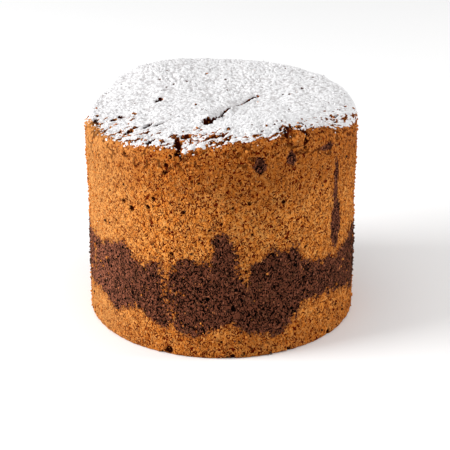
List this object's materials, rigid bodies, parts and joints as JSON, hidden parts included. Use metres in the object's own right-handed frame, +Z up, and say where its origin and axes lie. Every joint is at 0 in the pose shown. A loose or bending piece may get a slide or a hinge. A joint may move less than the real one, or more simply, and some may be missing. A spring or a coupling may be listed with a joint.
{
  "type": "marble chiffon cake",
  "caption": "Tall round marble sponge cake, uncut, with a broad cocoa band round its side and a cracked crust under icing sugar.",
  "frame": {"origin": "centre of the flat base, on the surface that the cake stands on", "axes": "+Z up through the crust, -Y towards the side shown in front, +X to the right of that side"},
  "size_m": [0.1834, 0.1836, 0.1576],
  "materials": {
    "sponge": "open dry crumb, golden brown with a dark cocoa band",
    "icing_sugar": "dry white powder"
  },
  "bodies": {
    "root": {"cake": "sponge"}
  },
  "joints": []
}
